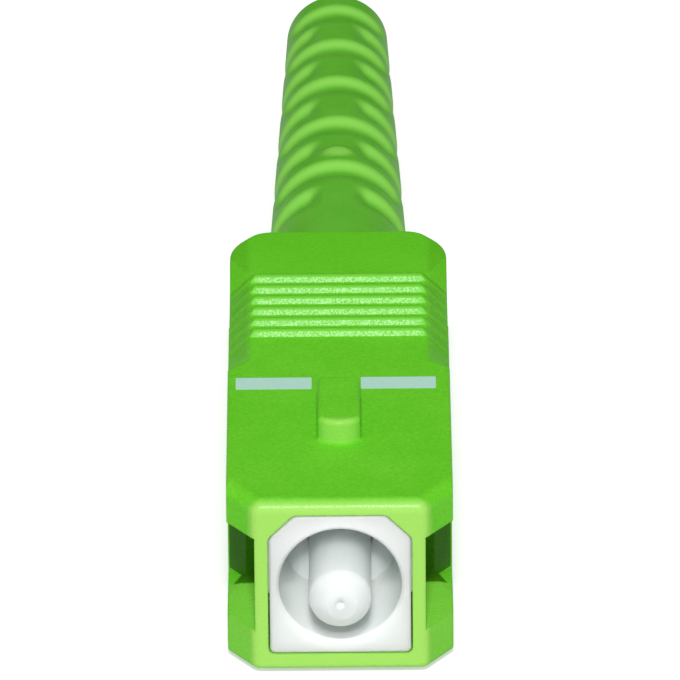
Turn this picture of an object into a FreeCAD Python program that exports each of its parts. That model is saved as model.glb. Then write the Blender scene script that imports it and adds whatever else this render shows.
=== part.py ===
import FreeCAD, Part
import math
import os

# SC fibre connector. Millimetres. +Y runs from the ferrule to the cable, +Z is the key side.
# The origin is where the ferrule axis meets the front face of the plug frame.

# ---- coupling grip: the outer sliding shell
GRIP_WIDTH = 9.07           # front section, where the adapter guides it
GRIP_REAR_WIDTH = 9.03      # finger section
GRIP_TOP = 3.7              # key-side face above the ferrule axis
GRIP_BOTTOM = 3.8           # opposite face below it
GRIP_LENGTH = 25.4
GRIP_REAR_FROM = 17.9       # start of the finger section
NOSE_FLAT_HALF = 3.42       # half width left flat at the nose
NOSE_CHAMFER_LENGTH = 1.57  # how far the nose chamfers run back
NOSE_TOP_RADIUS = 0.55      # key-side nose edge
NOSE_BOTTOM_RADIUS = 0.25
NOSE_BLEND = 0.4            # upright nose edges
LONG_EDGE_RADIUS = 0.14     # edges along the shell
TAIL_CORNER = (1.17, 1.54)  # slanted corner of the tail in plan: across and along
TAIL_ROUNDS = (2.7, 1.05)   # roundings of its two ends, from the side to the tail
GRIP_REAR_CAVITY_HALF = (3.45, 3.12)    # half width and half height of the rear cavity
GRIP_REAR_CAVITY_FROM = 16.0
GRIP_REAR_CAVITY_RADIUS = 0.6
MOUTH_CHAMFER = 0.3         # rear mouth

# ---- latch channels and release bars at the nose
CHANNEL_HALF_HEIGHT = 2.07
CHANNEL_DEPTH = 4.88        # forward-facing wall
CHANNEL_WALL_TO = 3.8       # half width where that wall turns outwards
CHANNEL_FLARE = (4.5, 5.85)  # half width and depth where the turned wall leaves the side
BAR_LENGTH = 1.0            # release bar, along Y
RELIEF_START = 3.1          # where the relief facet leaves the channel edge
RELIEF_DROP = 0.22

# ---- finger ribs
RIB_COUNT = 6
RIB_FIRST = 15.18           # foot of the first rib
RIB_PITCH = 1.036
RIB_HEIGHT = 0.26
RIB_FRONT_ANGLE = 57.0      # slope of the forward wall, in degrees
RIB_ROUND = 0.15            # rounding of its upper edge
RIB_ROUND_STEPS = 3
RIB_CREST = 0.1
RIB_FALL = 0.27
RIB_EDGE_SHARE = 0.15       # rib height left on the edge chamfer
EDGE_CHAMFER = 0.88         # finger-zone chamfer of the long edges
EDGE_CHAMFER_FROM = 12.99
EDGE_CHAMFER_TO = 21.0
EDGE_RUNOUT = (0.85, 1.9)   # length of its front and rear run-outs

# ---- polarising key
KEY_WIDTH = 1.73
KEY_HEIGHT = 1.03
KEY_FRONT = 5.2
KEY_REAR = 9.42
KEY_NOSE_RADIUS = 1.05
KEY_CORNER_RADIUS = 0.2
KEY_EDGE_RADIUS = 0.2
KEY_FOOT_RADIUS = 0.12

# ---- plug frame: the inner housing
FRAME_WIDTH = 5.66
FRAME_HEIGHT = 6.1
FRAME_LENGTH = 17.5
FRAME_TOP_CHAMFER = 1.0
FRAME_TOP_BLEND = 0.35
FRAME_FOOT_RADIUS = 0.22
FRAME_FIT = 0.06            # play between plug frame and grip, each side
FRAME_LIP = 0.08            # rounding of the front outline
PORT_RADIUS = 2.465         # bore that takes the adapter's sleeve holder
PORT_DEPTH = 4.5
PORT_LIP = 0.12
SEAT_WALL = 1.1             # wall between the port and the spring chamber
SEAT_BORE_RADIUS = 1.33
CHAMBER_RADIUS = 2.4
CATCH_FRONT = 2.45          # catch lug behind the release bar
CATCH_RAMP = 0.5
CATCH_REAR = 3.35
CATCH_HEIGHT = 0.5
CATCH_HALF = 1.6
SNAP_FROM_REAR = 4.5        # snap bump that keeps the grip on, from the frame's rear end
SNAP_LENGTH = 1.2
SNAP_RAMP = 0.5
SNAP_HEIGHT = 0.36
SNAP_HALF = 1.2
SNAP_SIDE_PLAY = 0.12
TAB_WINDOW_FROM_REAR = 2.9  # rear body's tabs click in here
TAB_WINDOW_LENGTH = 1.7
TAB_PLAY = 0.1
TAB_WINDOW_HALF = 0.9
KEYWAY_RIB_HALF = 0.28      # stops the ferrule turning
KEYWAY_RIB_INNER = 1.98
KEYWAY_RIB_LENGTH = 4.0

# ---- travel of the two slides
GRIP_TRAVEL = 1.2
FERRULE_TRAVEL = 2.0
STOP_PLAY = 0.05

# ---- ferrule assembly
FERRULE_RADIUS = 1.25
FERRULE_TIP = 1.83          # end face ahead of the plug frame's face
FERRULE_SHOULDER = 1.2      # where the cone meets the cylinder, ahead of the same face
FERRULE_TIP_RADIUS = 0.6
FERRULE_LENGTH = 10.5
FERRULE_FREE_END = 4.6      # end of the free length that an adapter sleeve covers
FERRULE_SEAT_RADIUS = 1.22  # rear end of the pressed length, which tapers evenly
FERRULE_BLEND = 0.3
POLISH_ANGLE = 8.0
FIBRE_HOLE_RADIUS = 0.0625
FUNNEL_RADIUS = 0.45
FUNNEL_DEPTH = 0.9
REAR_BEVEL = 0.12
FLANGE_RADIUS = 2.2
FLANGE_LENGTH = 1.75
FLANGE_CONE = 0.4
FLANGE_TAIL_RADIUS = 1.42
FLANGE_TAIL_LENGTH = 3.6
FLANGE_NOTCHES = 4
FLANGE_NOTCH_HALF = 0.45
FLANGE_NOTCH_INNER = 1.9
GUIDE_RADIUS = 0.92
GUIDE_BORE_RADIUS = 0.55
GUIDE_END = 21.5

# ---- spring
WIRE_RADIUS = 0.17
COIL_RADIUS = 1.72
ACTIVE_TURNS = 4
CLOSED_PITCH = 0.37
GROUND_DEPTH = 0.08
POINTS_PER_TURN = 8
WIRE_SIDES = 6

# ---- rear body and crimp sleeve
BODY_TUBE_LENGTH = 3.7
BODY_TUBE_RADIUS = 2.35
BODY_BORE_RADIUS = 1.3
BODY_SHOULDER_RADIUS = 2.83
BODY_SHOULDER_LENGTH = 1.4
TAB_HALF = 0.8
TAB_HEIGHT = 0.5
SPIGOT_RADIUS = 1.88
SPIGOT_RIDGE = 0.12
SPIGOT_LENGTH = 6.1
SPIGOT_RIDGES = 4
SLEEVE_WALL = 0.35
SLEEVE_STEP = 0.5           # length of the cone between the two diameters
SLEEVE_TAIL_BORE = 1.7
SLEEVE_TAIL_LENGTH = 3.6
SLEEVE_FREE = 0.15          # free length past the spigot

# ---- strain-relief boot
BOOT_FIT = 0.03
BOOT_RADIUS = 2.9
BOOT_TAPER_FROM = 32.0
BOOT_END_RADIUS = 2.22
BOOT_END = 53.2
BOOT_END_ROUND = 0.3
CABLE_BORE_RADIUS = 1.5
CABLE_MOUTH = 0.15
SLOT_FIRST = 31.72          # rear wall of the slot nearest the grip
SLOT_ROWS = 10
SLOT_FIRST_PITCH = 2.53
SLOT_PITCH_RATIO = 0.968    # the rows close up towards the cable
SLOT_DEPTH = 0.4
SLOT_DEPTH_RATIO = 0.965
SLOT_FLOOR = 0.7
SLOT_RAMP = 0.5
SLOT_CREST = 0.12
SLOT_REACH = 1.0            # how far a cutter stands out of the surface
WEB_HALF = 0.9
GATE_PAD_AT = 35.18
GATE_PAD_RADIUS = 0.7
GATE_PAD_HEIGHT = 0.06

OVER = 1.0                  # how far cutters run past a face
GRIP_HALF = GRIP_WIDTH / 2
GRIP_REAR_HALF = GRIP_REAR_WIDTH / 2
FRAME_HALF = FRAME_WIDTH / 2
FRAME_TOP = FRAME_HEIGHT / 2
SNAP_FRONT = FRAME_LENGTH - SNAP_FROM_REAR
SNAP_REAR = SNAP_FRONT + SNAP_LENGTH
TAB_WINDOW_FRONT = FRAME_LENGTH - TAB_WINDOW_FROM_REAR
TAB_WINDOW_REAR = TAB_WINDOW_FRONT + TAB_WINDOW_LENGTH
TAB_FRONT = TAB_WINDOW_FRONT + TAB_PLAY
TAB_REAR = TAB_WINDOW_REAR - TAB_PLAY
BODY_FRONT = FRAME_LENGTH - BODY_TUBE_LENGTH
SEAT_REAR = PORT_DEPTH + SEAT_WALL
FLANGE_FRONT = SEAT_REAR + STOP_PLAY
FLANGE_REAR = FLANGE_FRONT + FLANGE_LENGTH
FERRULE_REAR = FERRULE_LENGTH - FERRULE_TIP
TAIL_REAR = FLANGE_REAR + FLANGE_TAIL_LENGTH
SHOULDER_REAR = FRAME_LENGTH + BODY_SHOULDER_LENGTH
SPIGOT_REAR = SHOULDER_REAR + SPIGOT_LENGTH
SLEEVE_BORE = SPIGOT_RADIUS + SPIGOT_RIDGE
SLEEVE_RADIUS = SLEEVE_BORE + SLEEVE_WALL
SLEEVE_TAIL_RADIUS = SLEEVE_TAIL_BORE + SLEEVE_WALL
SLEEVE_STEP_FROM = SPIGOT_REAR + SLEEVE_FREE
SLEEVE_TAIL_FROM = SLEEVE_STEP_FROM + SLEEVE_STEP
SLEEVE_REAR = SLEEVE_TAIL_FROM + SLEEVE_TAIL_LENGTH

V = FreeCAD.Vector
ORIGIN = V(0, 0, 0)
ALONG = V(0, 1, 0)
UP = V(0, 0, 1)


def block(x0, x1, y0, y1, z0, z1):
    """Box between two corners."""
    return Part.makeBox(x1 - x0, y1 - y0, z1 - z0, V(x0, y0, z0))


def rod(radius, y0, y1):
    """Cylinder on the connector axis."""
    return Part.makeCylinder(radius, y1 - y0, V(0, y0, 0), ALONG)


def plan_prism(points, z0, z1):
    """Extrude a closed (x, y) outline from z0 to z1."""
    wire = Part.makePolygon([V(x, y, z0) for x, y in points + points[:1]])
    return Part.Face(wire).extrude(V(0, 0, z1 - z0))


def rounded_outline(points, radii, z):
    """Closed plan outline at height z whose corners are tangent arcs."""
    corners = []
    for i, (point, radius) in enumerate(zip(points, radii)):
        here = V(*point, z)
        back = (V(*points[i - 1], z) - here).normalize()
        ahead = (V(*points[(i + 1) % len(points)], z) - here).normalize()
        half = back.getAngle(ahead) / 2
        reach = radius / math.tan(half)
        crown = (back + ahead).normalize() * (radius / math.sin(half) - radius)
        corners.append((here + back * reach, here + crown, here + ahead * reach))
    edges = []
    for i, (start, middle, end) in enumerate(corners):
        if radii[i] > 0:
            edges.append(Part.Arc(start, middle, end).toShape())
        edges.append(Part.makeLine(end, corners[(i + 1) % len(corners)][0]))
    return Part.Wire(edges)


def section_prism(points, y0, y1):
    """Extrude a closed (x, z) outline from y0 to y1."""
    wire = Part.makePolygon([V(x, y0, z) for x, z in points + points[:1]])
    return Part.Face(wire).extrude(V(0, y1 - y0, 0))


def turned(points):
    """Revolve a closed (radius, y) outline about the connector axis."""
    wire = Part.makePolygon([V(r, y, 0) for r, y in points + points[:1]])
    return Part.Face(wire).revolve(ORIGIN, ALONG, 360)


def polyhedron(corners, faces):
    """Closed solid from corner points and the corner numbers of each flat face."""
    sides = []
    for face in faces:
        loop = [corners[i] for i in face]
        sides.append(Part.Face(Part.makePolygon(loop + loop[:1])))
    solid = Part.makeSolid(Part.makeShell(sides))
    if solid.Volume < 0:
        solid.reverse()
    return solid


def flat_loft(loops):
    """Solid with flat sides through a row of closed loops with equal corner counts."""
    count = len(loops[0])
    corners = [point for loop in loops for point in loop]
    last = count * (len(loops) - 1)
    faces = [tuple(range(count)), tuple(range(last, last + count))]
    for level in range(len(loops) - 1):
        base = level * count
        for i in range(count):
            j = (i + 1) % count
            faces.append((base + i, base + j, base + count + j, base + count + i))
    return polyhedron(corners, faces)


def mirrored(shape, normal):
    """The shape and its mirror image about the plane through the origin."""
    return [shape, shape.mirror(ORIGIN, normal)]


def edges_where(shape, keep):
    """Edges whose midpoint and end points satisfy the given test."""
    found = []
    for edge in shape.Edges:
        ends = [v.Point for v in edge.Vertexes]
        if ends and all(keep(p) for p in ends):
            found.append(edge)
    return found


def near(a, b):
    """True when two sizes agree to a thousandth."""
    return abs(a - b) < 0.001


def frame_outline(grow, y0, y1):
    """Plug-frame section: two chamfered key-side corners and two rounded foot corners."""
    half = FRAME_HALF + grow
    top = FRAME_TOP + grow
    cut = FRAME_TOP_CHAMFER + grow * (2 - math.sqrt(2))
    body = section_prism([
        (-half, -top), (half, -top), (half, top - cut),
        (half - cut, top), (cut - half, top), (-half, top - cut)], y0, y1)
    blends = edges_where(body, lambda p: p.z > 0)
    blends = [e for e in blends if near(e.Vertexes[0].Point.z, e.Vertexes[-1].Point.z)]
    blends = [e for e in blends if near(e.Vertexes[0].Point.x, e.Vertexes[-1].Point.x)]
    body = body.makeFillet(FRAME_TOP_BLEND, blends)
    feet = edges_where(body, lambda p: near(p.z, -top))
    feet = [e for e in feet if near(e.Vertexes[0].Point.x, e.Vertexes[-1].Point.x)]
    return body.makeFillet(FRAME_FOOT_RADIUS + grow, feet)


def plug_frame():
    """White inner housing with the port, ferrule seat, spring chamber and side catches."""
    body = frame_outline(0, 0, FRAME_LENGTH)
    rim = edges_where(body, lambda p: near(p.y, 0))
    body = body.makeChamfer(FRAME_LIP, rim)
    port = turned([
        (0, -OVER), (PORT_RADIUS + PORT_LIP + OVER, -OVER), (PORT_RADIUS, PORT_LIP),
        (PORT_RADIUS, PORT_DEPTH), (0, PORT_DEPTH)])
    cone = FLANGE_CONE + STOP_PLAY
    seat = turned([
        (0, PORT_DEPTH - OVER), (SEAT_BORE_RADIUS, PORT_DEPTH - OVER),
        (SEAT_BORE_RADIUS, SEAT_REAR - cone), (SEAT_BORE_RADIUS + cone, SEAT_REAR),
        (CHAMBER_RADIUS, SEAT_REAR), (CHAMBER_RADIUS, FRAME_LENGTH + OVER),
        (0, FRAME_LENGTH + OVER)])
    body = body.cut(port).cut(seat)
    catch = plan_prism([
        (FRAME_HALF - SNAP_HEIGHT, CATCH_FRONT), (FRAME_HALF, CATCH_FRONT),
        (FRAME_HALF + CATCH_HEIGHT, CATCH_FRONT + CATCH_RAMP),
        (FRAME_HALF + CATCH_HEIGHT, CATCH_REAR), (FRAME_HALF - SNAP_HEIGHT, CATCH_REAR)],
        -CATCH_HALF, CATCH_HALF)
    snap = plan_prism([
        (FRAME_HALF - SNAP_HEIGHT, SNAP_FRONT), (FRAME_HALF, SNAP_FRONT),
        (FRAME_HALF + SNAP_HEIGHT, SNAP_FRONT + SNAP_RAMP),
        (FRAME_HALF + SNAP_HEIGHT, SNAP_REAR), (FRAME_HALF - SNAP_HEIGHT, SNAP_REAR)],
        -SNAP_HALF, SNAP_HALF)
    catch = catch.cut(rod(PORT_RADIUS, 0, PORT_DEPTH))
    snap = snap.cut(rod(CHAMBER_RADIUS, 0, FRAME_LENGTH))
    rib = block(-KEYWAY_RIB_HALF, KEYWAY_RIB_HALF, SEAT_REAR - STOP_PLAY,
                SEAT_REAR + KEYWAY_RIB_LENGTH, KEYWAY_RIB_INNER, FRAME_TOP - SNAP_HEIGHT)
    for piece in (catch, snap):
        body = body.fuse(mirrored(piece, V(1, 0, 0)))
    body = body.fuse(mirrored(rib, UP))
    window = block(-TAB_WINDOW_HALF, TAB_WINDOW_HALF, TAB_WINDOW_FRONT, TAB_WINDOW_REAR,
                   0, FRAME_TOP + OVER)
    for hole in mirrored(window, UP):
        body = body.cut(hole)
    return body.removeSplitter()


def level_run(edge):
    """True for an edge that lies flat on the key-side face or the opposite face."""
    ends = [v.Point for v in edge.Vertexes]
    if len(ends) < 2 or not near(ends[0].z, ends[-1].z):
        return False
    return near(ends[0].z, GRIP_TOP) or near(ends[0].z, -GRIP_BOTTOM)


def grip_shell():
    """Outer envelope of the grip: nose chamfers, tail corners and rounded long edges."""
    across, along = TAIL_CORNER
    side = [(NOSE_FLAT_HALF, 0), (GRIP_HALF, NOSE_CHAMFER_LENGTH),
            (GRIP_HALF, GRIP_REAR_FROM), (GRIP_REAR_HALF, GRIP_REAR_FROM),
            (GRIP_REAR_HALF, GRIP_LENGTH - along), (GRIP_REAR_HALF - across, GRIP_LENGTH)]
    rounds = [NOSE_BLEND, 0, 0, 0, *TAIL_ROUNDS]
    outline = rounded_outline(side + [(-x, y) for x, y in reversed(side)],
                              rounds + rounds[::-1], -GRIP_BOTTOM)
    body = Part.Face(outline).extrude(V(0, 0, GRIP_TOP + GRIP_BOTTOM))
    for level, radius in ((GRIP_TOP, NOSE_TOP_RADIUS), (-GRIP_BOTTOM, NOSE_BOTTOM_RADIUS)):
        front = edges_where(body, lambda p: near(p.y, 0) and near(p.z, level))
        body = body.makeFillet(radius, front)
    runs = []
    for edge in body.Edges:
        if level_run(edge) and min(v.Point.y for v in edge.Vertexes) > NOSE_TOP_RADIUS:
            runs.append(edge)
    return body.makeFillet(LONG_EDGE_RADIUS, runs)


def edge_scoop(face):
    """Cutter for one long edge in the finger zone, with a mitred run-out at each end."""
    inner = GRIP_HALF - EDGE_CHAMFER
    out = GRIP_HALF + OVER
    reach = out - inner + OVER
    front, rear = (reach * length / EDGE_CHAMFER for length in EDGE_RUNOUT)
    corners = [
        V(inner, EDGE_CHAMFER_FROM, face),
        V(out, EDGE_CHAMFER_FROM, face - (out - inner)),
        V(inner - OVER, EDGE_CHAMFER_FROM, face + OVER),
        V(out, EDGE_CHAMFER_FROM - front, face + OVER),
        V(inner, EDGE_CHAMFER_TO, face),
        V(out, EDGE_CHAMFER_TO, face - (out - inner)),
        V(inner - OVER, EDGE_CHAMFER_TO, face + OVER),
        V(out, EDGE_CHAMFER_TO + rear, face + OVER),
    ]
    faces = [(2, 1, 5, 6), (2, 1, 3), (6, 5, 7), (2, 3, 7, 6), (1, 5, 7, 3)]
    return polyhedron(corners, faces)


def rib(foot, face):
    """One raised finger rib over a face, running down both edge chamfers."""
    inner = GRIP_HALF - EDGE_CHAMFER

    def cap(y, lift):
        """Upper section of the shell, grown outwards by lift."""
        top = face + lift
        line = inner + face + lift * RIB_EDGE_SHARE * math.sqrt(2)
        low = face - GRIP_HALF + inner
        points = [(-GRIP_REAR_HALF, low - RIB_HEIGHT), (-GRIP_REAR_HALF, line - GRIP_REAR_HALF),
                  (top - line, top), (line - top, top),
                  (GRIP_REAR_HALF, line - GRIP_REAR_HALF), (GRIP_REAR_HALF, low - RIB_HEIGHT)]
        return [V(x, y, z) for x, z in points]

    steep = math.radians(RIB_FRONT_ANGLE)
    rise = RIB_HEIGHT - RIB_ROUND * (1 - math.cos(steep))
    turn = foot + rise / math.tan(steep)
    sections = [cap(foot, 0)]
    for i in range(RIB_ROUND_STEPS + 1):
        lean = steep * (1 - i / RIB_ROUND_STEPS)
        sections.append(cap(turn + RIB_ROUND * (math.sin(steep) - math.sin(lean)),
                            RIB_HEIGHT - RIB_ROUND * (1 - math.cos(lean))))
    crest = turn + RIB_ROUND * math.sin(steep) + RIB_CREST
    sections += [cap(crest, RIB_HEIGHT), cap(crest + RIB_FALL, 0)]
    return flat_loft(sections)


def polarising_key():
    """Key with a bowed front, standing on the shell."""
    half = KEY_WIDTH / 2
    bow = KEY_NOSE_RADIUS - math.sqrt(KEY_NOSE_RADIUS ** 2 - half ** 2)
    z0 = GRIP_TOP - KEY_EDGE_RADIUS
    left = V(-half, KEY_FRONT + bow, z0)
    right = V(half, KEY_FRONT + bow, z0)
    nose = Part.Arc(left, V(0, KEY_FRONT, z0), right).toShape()
    rest = Part.makePolygon([right, V(half, KEY_REAR, z0), V(-half, KEY_REAR, z0), left])
    solid = Part.Face(Part.Wire([nose] + rest.Edges)).extrude(
        V(0, 0, KEY_HEIGHT + KEY_EDGE_RADIUS))
    uprights = []
    for edge in solid.Edges:
        a, b = edge.Vertexes[0].Point, edge.Vertexes[-1].Point
        if near(a.x, b.x) and near(a.y, b.y) and not near(a.z, b.z):
            uprights.append(edge)
    solid = solid.makeFillet(KEY_CORNER_RADIUS, uprights)
    rim = edges_where(solid, lambda p: near(p.z, GRIP_TOP + KEY_HEIGHT))
    return solid.makeFillet(KEY_EDGE_RADIUS, rim)


def latch_channel():
    """Cutter for the +X channel: open at the nose and side, flared at its rear wall."""
    z = CHANNEL_HALF_HEIGHT
    out = GRIP_HALF + OVER
    flare_x, flare_y = CHANNEL_FLARE
    slope = (flare_y - CHANNEL_DEPTH) / (flare_x - CHANNEL_WALL_TO)
    far = CHANNEL_DEPTH + slope * (out - CHANNEL_WALL_TO)
    inside = FRAME_HALF - FRAME_FIT
    channel = plan_prism([
        (NOSE_FLAT_HALF, -OVER), (out, -OVER), (out, far), (CHANNEL_WALL_TO, CHANNEL_DEPTH),
        (inside, CHANNEL_DEPTH), (inside, BAR_LENGTH), (NOSE_FLAT_HALF, BAR_LENGTH)], -z, z)
    run = out - CHANNEL_WALL_TO
    start = CHANNEL_DEPTH - (CHANNEL_DEPTH - RELIEF_START) * run / (flare_x - CHANNEL_WALL_TO)
    corners = [V(CHANNEL_WALL_TO, CHANNEL_DEPTH, z), V(out, start, z), V(out, far, z),
               V(out, far, z + RELIEF_DROP * run / (flare_x - CHANNEL_WALL_TO))]
    facet = polyhedron(corners, [(0, 1, 2), (0, 1, 3), (0, 2, 3), (1, 2, 3)])
    return channel.fuse(mirrored(facet, UP))


def coupling_grip():
    """Green outer shell that the fingers pull to release the latch."""
    body = grip_shell()
    scoops = mirrored(edge_scoop(GRIP_TOP), V(1, 0, 0))
    scoops += [s.mirror(ORIGIN, UP) for s in mirrored(edge_scoop(GRIP_BOTTOM), V(1, 0, 0))]
    for cutter in scoops:
        body = body.cut(cutter)
    ribs = []
    for i in range(RIB_COUNT):
        foot = RIB_FIRST + i * RIB_PITCH
        ribs += [rib(foot, GRIP_TOP), rib(foot, GRIP_BOTTOM).mirror(ORIGIN, UP)]
    body = body.fuse(ribs).fuse(polarising_key())
    tunnel = frame_outline(FRAME_FIT, -OVER, GRIP_REAR_CAVITY_FROM + OVER)
    half, top = GRIP_REAR_CAVITY_HALF
    cavity = block(-half, half, GRIP_REAR_CAVITY_FROM, GRIP_LENGTH + OVER, -top, top)
    corners = edges_where(cavity, lambda p: near(abs(p.x), half))
    corners = [e for e in corners if near(e.Vertexes[0].Point.z, e.Vertexes[-1].Point.z)]
    cavity = cavity.makeFillet(GRIP_REAR_CAVITY_RADIUS, corners)
    reach = MOUTH_CHAMFER + OVER
    flat = GRIP_LENGTH - MOUTH_CHAMFER

    def mouth_loop(y, grow):
        """Rear mouth outline grown by grow."""
        wide, tall = half + grow, top + grow
        return [V(-wide, y, -tall), V(wide, y, -tall), V(wide, y, tall), V(-wide, y, tall)]

    mouth = flat_loft([mouth_loop(flat, 0), mouth_loop(flat + reach, reach)])
    pocket = block(FRAME_HALF - FRAME_FIT, FRAME_HALF + SNAP_HEIGHT + SNAP_SIDE_PLAY,
                   SNAP_FRONT - GRIP_TRAVEL - STOP_PLAY, SNAP_REAR + STOP_PLAY,
                   -SNAP_HALF - SNAP_SIDE_PLAY, SNAP_HALF + SNAP_SIDE_PLAY)
    for cutter in (tunnel, cavity, mouth):
        body = body.cut(cutter)
    for one in (pocket, latch_channel()):
        for cutter in mirrored(one, V(1, 0, 0)):
            body = body.cut(cutter)
    body = body.removeSplitter()
    reach = KEY_EDGE_RADIUS / 2
    foot = edges_where(body, lambda p: near(p.z, GRIP_TOP) and abs(p.x) < KEY_WIDTH / 2 + reach
                       and KEY_FRONT - reach < p.y < KEY_REAR + reach)
    return body.makeFillet(KEY_FOOT_RADIUS, foot)


def ferrule():
    """Ceramic ferrule with an angled end face and a fibre hole."""
    body = turned([
        (0, -FERRULE_TIP - OVER / 2),
        (FERRULE_TIP_RADIUS - 0.5 * OVER * (FERRULE_RADIUS - FERRULE_TIP_RADIUS)
         / (FERRULE_TIP - FERRULE_SHOULDER), -FERRULE_TIP - OVER / 2),
        (FERRULE_RADIUS, -FERRULE_SHOULDER), (FERRULE_RADIUS, FERRULE_FREE_END),
        (FERRULE_SEAT_RADIUS, FERRULE_REAR - REAR_BEVEL),
        (FERRULE_SEAT_RADIUS - REAR_BEVEL, FERRULE_REAR), (0, FERRULE_REAR)])
    shoulder = edges_where(body, lambda p: near(p.y, -FERRULE_SHOULDER))
    shoulder = [e for e in shoulder if e.Closed]
    body = body.makeFillet(FERRULE_BLEND, shoulder)
    polish = block(-FERRULE_LENGTH, FERRULE_LENGTH, -FERRULE_TIP - FERRULE_LENGTH, -FERRULE_TIP,
                   -FERRULE_LENGTH, FERRULE_LENGTH)
    polish.rotate(V(0, -FERRULE_TIP, 0), UP, POLISH_ANGLE)
    hole = rod(FIBRE_HOLE_RADIUS, -FERRULE_TIP - OVER, FERRULE_REAR + OVER)
    funnel = turned([
        (0, FERRULE_REAR - FUNNEL_DEPTH), (FIBRE_HOLE_RADIUS, FERRULE_REAR - FUNNEL_DEPTH),
        (FUNNEL_RADIUS, FERRULE_REAR), (0, FERRULE_REAR)])
    return body.cut(polish).cut(hole).cut(funnel)


def ferrule_flange():
    """Notched metal flange pressed on the ferrule, with a tail for the guide tube."""
    taper = (FERRULE_RADIUS - FERRULE_SEAT_RADIUS) / (FERRULE_REAR - REAR_BEVEL - FERRULE_FREE_END)
    mouth = FERRULE_RADIUS - taper * (FLANGE_FRONT - FERRULE_FREE_END)
    body = turned([
        (mouth, FLANGE_FRONT), (FLANGE_RADIUS - FLANGE_CONE, FLANGE_FRONT),
        (FLANGE_RADIUS, FLANGE_FRONT + FLANGE_CONE), (FLANGE_RADIUS, FLANGE_REAR),
        (FLANGE_TAIL_RADIUS, FLANGE_REAR), (FLANGE_TAIL_RADIUS, TAIL_REAR - REAR_BEVEL),
        (FLANGE_TAIL_RADIUS - REAR_BEVEL, TAIL_REAR), (GUIDE_RADIUS, TAIL_REAR),
        (GUIDE_RADIUS, FERRULE_REAR), (FERRULE_SEAT_RADIUS, FERRULE_REAR),
        (FERRULE_SEAT_RADIUS, FERRULE_REAR - REAR_BEVEL)])
    notch = block(-FLANGE_NOTCH_HALF, FLANGE_NOTCH_HALF, FLANGE_FRONT - OVER,
                  FLANGE_REAR, FLANGE_NOTCH_INNER, FLANGE_RADIUS + OVER)
    for i in range(FLANGE_NOTCHES):
        cutter = notch.copy()
        cutter.rotate(ORIGIN, ALONG, i * 360 / FLANGE_NOTCHES)
        body = body.cut(cutter)
    return body


def guide_tube():
    """Plastic tube that leads the coated fibre into the flange."""
    outer = rod(GUIDE_RADIUS, FERRULE_REAR, GUIDE_END)
    return outer.cut(rod(GUIDE_BORE_RADIUS, FERRULE_REAR - OVER, GUIDE_END + OVER))


def ferrule_spring():
    """Compression spring with closed, ground end coils."""
    start = FLANGE_REAR + WIRE_RADIUS - GROUND_DEPTH
    end = BODY_FRONT - WIRE_RADIUS + GROUND_DEPTH
    turns = ACTIVE_TURNS + 2
    pitch = (end - start - 2 * CLOSED_PITCH) / ACTIVE_TURNS
    points = []
    for i in range(turns * POINTS_PER_TURN + 1):
        turn = i / POINTS_PER_TURN
        active = min(max(turn - 1, 0), ACTIVE_TURNS)
        closed = turn - active
        angle = 2 * math.pi * turn
        points.append(V(COIL_RADIUS * math.cos(angle),
                        start + closed * CLOSED_PITCH + active * pitch,
                        COIL_RADIUS * math.sin(angle)))
    curve = Part.BSplineCurve()
    curve.interpolate(points)
    path = Part.Wire([curve.toShape()])
    tangent = curve.tangent(curve.FirstParameter)[0]
    across = tangent.cross(ALONG).normalize()
    over = across.cross(tangent).normalize()
    ring = []
    for i in range(WIRE_SIDES + 1):
        angle = 2 * math.pi * (i + 0.5) / WIRE_SIDES
        ring.append(points[0] + across * (WIRE_RADIUS * math.cos(angle))
                    + over * (WIRE_RADIUS * math.sin(angle)))
    coil = path.makePipeShell([Part.makePolygon(ring)], True, True)
    wide = COIL_RADIUS + OVER
    return coil.common(block(-wide, wide, FLANGE_REAR, BODY_FRONT, -wide, wide))


def rear_body():
    """Metal rear body: spring stop, snap tabs, shoulder and ridged crimp spigot."""
    outline = [(BODY_BORE_RADIUS, BODY_FRONT), (BODY_TUBE_RADIUS - REAR_BEVEL, BODY_FRONT),
               (BODY_TUBE_RADIUS, BODY_FRONT + REAR_BEVEL), (BODY_TUBE_RADIUS, FRAME_LENGTH),
               (BODY_SHOULDER_RADIUS, FRAME_LENGTH), (BODY_SHOULDER_RADIUS, SHOULDER_REAR),
               (SPIGOT_RADIUS, SHOULDER_REAR)]
    pitch = SPIGOT_LENGTH / SPIGOT_RIDGES
    for i in range(SPIGOT_RIDGES):
        base = SHOULDER_REAR + i * pitch
        outline += [(SPIGOT_RADIUS, base + pitch / 4), (SLEEVE_BORE, base + pitch / 2),
                    (SLEEVE_BORE, base + 3 * pitch / 4), (SPIGOT_RADIUS, base + pitch)]
    outline.append((BODY_BORE_RADIUS, SPIGOT_REAR))
    body = turned(outline)
    low = BODY_TUBE_RADIUS - TAB_HEIGHT
    tip = BODY_TUBE_RADIUS + TAB_HEIGHT
    tab = Part.Face(Part.makePolygon([
        V(-TAB_HALF, TAB_FRONT, low), V(-TAB_HALF, TAB_REAR, low), V(-TAB_HALF, TAB_REAR, tip),
        V(-TAB_HALF, (TAB_FRONT + TAB_REAR) / 2, tip), V(-TAB_HALF, TAB_FRONT, low)])).extrude(
            V(2 * TAB_HALF, 0, 0))
    return body.fuse(mirrored(tab, UP)).removeSplitter()


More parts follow.
